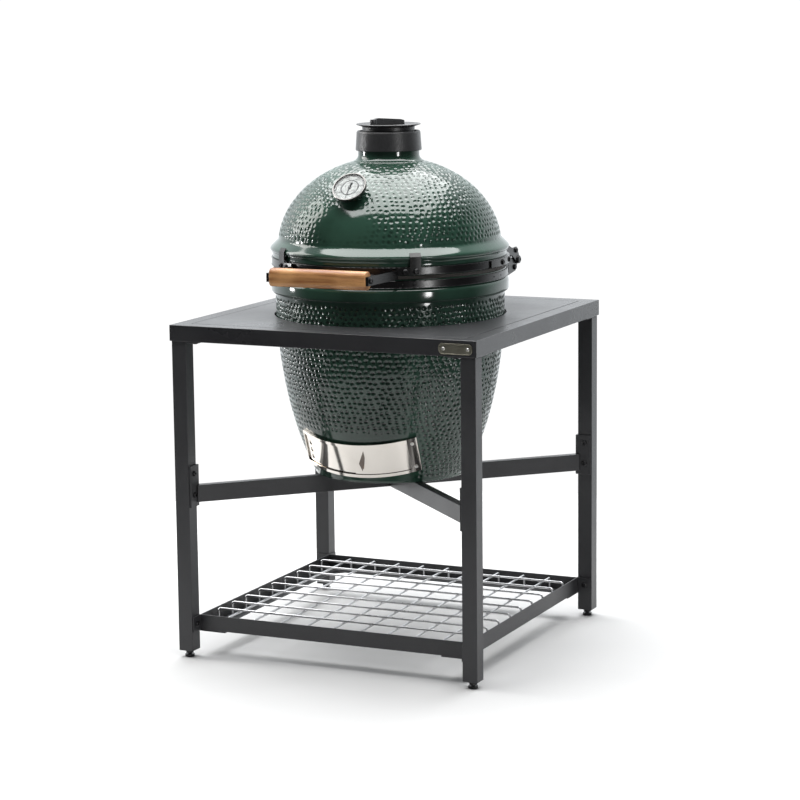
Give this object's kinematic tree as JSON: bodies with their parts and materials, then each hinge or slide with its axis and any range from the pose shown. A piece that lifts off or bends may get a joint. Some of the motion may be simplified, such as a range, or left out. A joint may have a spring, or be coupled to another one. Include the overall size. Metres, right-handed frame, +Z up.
{
  "type": "ceramic kamado charcoal grill",
  "caption": "Egg-shaped glazed ceramic charcoal grill with hinged dome, thermometer, chimney cap and draft door, standing in a square steel table frame with a wire shelf.",
  "frame": {"origin": "on the floor, under the upright axis of the egg", "axes": "+Z up; the front with the handle and the draft door faces -Y; +X to the right seen from the front"},
  "size_m": [0.76, 0.766, 1.235],
  "materials": {
    "table_powder_coat": "fine matte powder coat",
    "frame_powder_coat": "fine matte powder coat",
    "black_fastener": "black oxide",
    "shelf_wire": "drawn stainless wire",
    "badge_bronze": "satin gunmetal",
    "bright_rivet": "bright stainless",
    "green_glaze": "glossy glaze",
    "bare_ceramic": "unglazed",
    "cast_iron": "as cast",
    "grid_steel": "satin stainless",
    "felt": "woven felt",
    "band_black": "satin black",
    "hinge_steel": "black zinc",
    "spring_steel": "bright spring steel",
    "polished_steel": "polished stainless",
    "grip_wood": "oiled light hardwood",
    "gauge_steel": "satin stainless",
    "dial_white": "matte white enamel",
    "lens_glass": "clear",
    "pointer_black": "matte black",
    "cap_iron": "matte dark coating"
  },
  "bodies": {
    "frame_and_base": {"table_rim": "table_powder_coat", "table_panel": "table_powder_coat", "corner_plates": "frame_powder_coat", "leg_front_left": "frame_powder_coat", "leg_front_right": "frame_powder_coat", "leg_back_left": "frame_powder_coat", "leg_back_right": "frame_powder_coat", "shelf_rail_front": "frame_powder_coat", "shelf_rail_back": "frame_powder_coat", "shelf_rail_left": "frame_powder_coat", "shelf_rail_right": "frame_powder_coat", "shelf_corners": "frame_powder_coat", "brace_beam": "frame_powder_coat", "brace_half_beams": "frame_powder_coat", "brace_brackets": "frame_powder_coat", "frame_bolts": "black_fastener", "badge_plate": "badge_bronze", "badge_rivets": "bright_rivet", "base_shell": "green_glaze", "fire_box": "bare_ceramic", "fire_ring": "bare_ceramic", "fire_grate": "cast_iron", "cooking_grid": "grid_steel", "base_gasket": "felt", "base_band": "band_black", "base_bolts": "black_fastener", "draft_frame": "polished_steel", "draft_screws": "bright_rivet", "hinge_lower_arms": "band_black", "hinge_lower_bar": "hinge_steel", "hinge_shaft": "hinge_steel", "hinge_coils": "spring_steel", "spring_base_legs": "spring_steel"},
    "wire_shelf": {"wires_across": "shelf_wire", "wires_deep": "shelf_wire"},
    "dome": {"dome_shell": "green_glaze", "dome_gasket": "felt", "dome_band": "band_black", "hinge_upper_arms": "band_black", "hinge_upper_bar": "hinge_steel", "hinge_upper_bolts": "black_fastener", "spring_dome_legs": "spring_steel", "handle_brackets": "band_black", "handle_arms": "band_black", "handle_grip": "grip_wood", "handle_bolts": "black_fastener", "gauge_case": "gauge_steel", "gauge_dial": "dial_white", "gauge_lens": "lens_glass"},
    "pointer": {"gauge_needle": "pointer_black"},
    "chimney_cap": {"vent_collar": "cap_iron"},
    "chimney_lid": {"vent_disc": "cap_iron"},
    "left_door": {"draft_door_left": "polished_steel"},
    "right_door": {"draft_door_right": "polished_steel"},
    "levelling_foot_front_left": {"foot_front_left": "black_fastener"},
    "levelling_foot_front_right": {"foot_front_right": "black_fastener"},
    "levelling_foot_back_left": {"foot_back_left": "black_fastener"},
    "levelling_foot_back_right": {"foot_back_right": "black_fastener"}
  },
  "joints": [
    {"name": "dome_hinge", "type": "hinge", "parent": "frame_and_base", "child": "dome", "pos_m": [0, 0.3, 0.88], "axis": [-1, 0, 0], "range_deg": [0, 75], "stiffness_Nm_per_rad": 27, "springref_deg": 75},
    {"name": "cap_lift", "type": "slide", "parent": "dome", "child": "chimney_cap", "axis": [0, 0, 1], "range_m": [0, 0.07]},
    {"name": "chimney_lid_swing", "type": "hinge", "parent": "chimney_cap", "child": "chimney_lid", "pos_m": [0.01888, 0.05484, 1.214], "axis": [0, 0, 1], "range_deg": [0, 100]},
    {"name": "pointer_turn", "type": "hinge", "parent": "dome", "child": "pointer", "pos_m": [0, -0.212, 1.0897], "axis": [0, -0.7071, 0.7071], "range_deg": [-300, 0]},
    {"name": "left_door_slide", "type": "hinge", "parent": "frame_and_base", "child": "left_door", "pos_m": [0, 0, 0.54311], "axis": [0, -0.3694, 0.9293], "range_deg": [0, 31]},
    {"name": "right_door_slide", "type": "hinge", "parent": "frame_and_base", "child": "right_door", "pos_m": [0, 0, 0.54311], "axis": [0, -0.3694, 0.9293], "range_deg": [-33, 0]},
    {"name": "wire_shelf_lift", "type": "slide", "parent": "frame_and_base", "child": "wire_shelf", "axis": [0, 0, 1], "range_m": [0, 0.12]},
    {"name": "level_front_left", "type": "slide", "parent": "frame_and_base", "child": "levelling_foot_front_left", "axis": [0, 0, -1], "range_m": [0, 0.012]},
    {"name": "level_front_right", "type": "slide", "parent": "frame_and_base", "child": "levelling_foot_front_right", "axis": [0, 0, -1], "range_m": [0, 0.012]},
    {"name": "level_back_left", "type": "slide", "parent": "frame_and_base", "child": "levelling_foot_back_left", "axis": [0, 0, -1], "range_m": [0, 0.012]},
    {"name": "level_back_right", "type": "slide", "parent": "frame_and_base", "child": "levelling_foot_back_right", "axis": [0, 0, -1], "range_m": [0, 0.012]}
  ]
}
